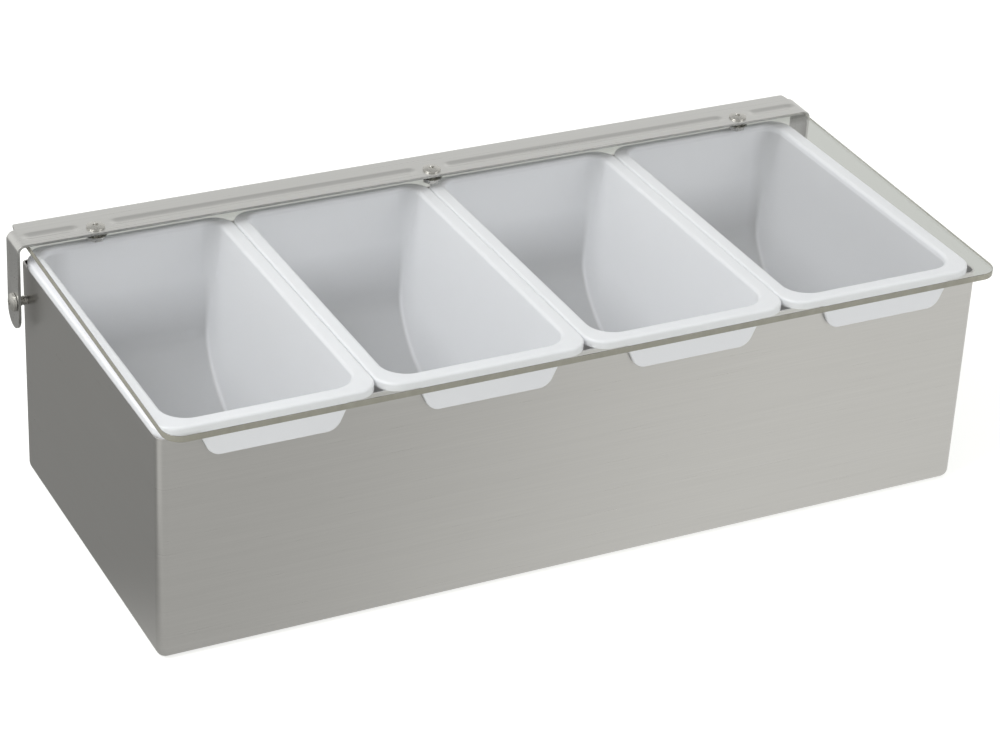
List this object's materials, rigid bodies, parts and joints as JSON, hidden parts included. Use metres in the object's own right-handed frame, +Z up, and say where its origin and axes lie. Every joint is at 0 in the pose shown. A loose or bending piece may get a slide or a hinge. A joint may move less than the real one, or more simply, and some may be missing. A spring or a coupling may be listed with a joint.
{
  "type": "condiment caddy",
  "caption": "Long open steel box that holds scoop-shaped white pans side by side under one clear flat cover, which flips up on a pressed bracket hinged at the side walls.",
  "frame": {"origin": "on the table, under the middle of the steel box", "axes": "+X along the box to the user's right, -Y towards the user, +Z up"},
  "size_m": [0.3242, 0.1498, 0.0963],
  "materials": {
    "steel_box": "brushed stainless steel sheet with a fine grain along the box",
    "steel_bracket": "satin stainless steel strip, softly reflective",
    "pan_plastic": "smooth white moulded plastic with a faint sheen",
    "clear_plastic": "clear colourless sheet with an olive-grey tint along its cut edges",
    "screw_steel": "plain steel fasteners with a dull shine"
  },
  "bodies": {
    "caddy": {"body_shell": "steel_box", "insert_1": "pan_plastic", "insert_2": "pan_plastic", "insert_3": "pan_plastic", "insert_4": "pan_plastic", "pivot_screw_left": "screw_steel", "pivot_screw_right": "screw_steel", "pivot_nut_left": "screw_steel", "pivot_nut_right": "screw_steel"},
    "cover": {"hinge_bracket": "steel_bracket", "clear_cover": "clear_plastic", "cover_screw_left": "screw_steel", "cover_screw_middle": "screw_steel", "cover_screw_right": "screw_steel", "cover_washer_left": "screw_steel", "cover_washer_middle": "screw_steel", "cover_washer_right": "screw_steel", "cover_nut_left": "screw_steel", "cover_nut_middle": "screw_steel", "cover_nut_right": "screw_steel"}
  },
  "joints": [
    {"name": "cover_hinge", "type": "hinge", "parent": "caddy", "child": "cover", "pos_m": [0, 0.0617, 0.0713], "axis": [-1, 0, 0], "range_deg": [0, 130]}
  ]
}
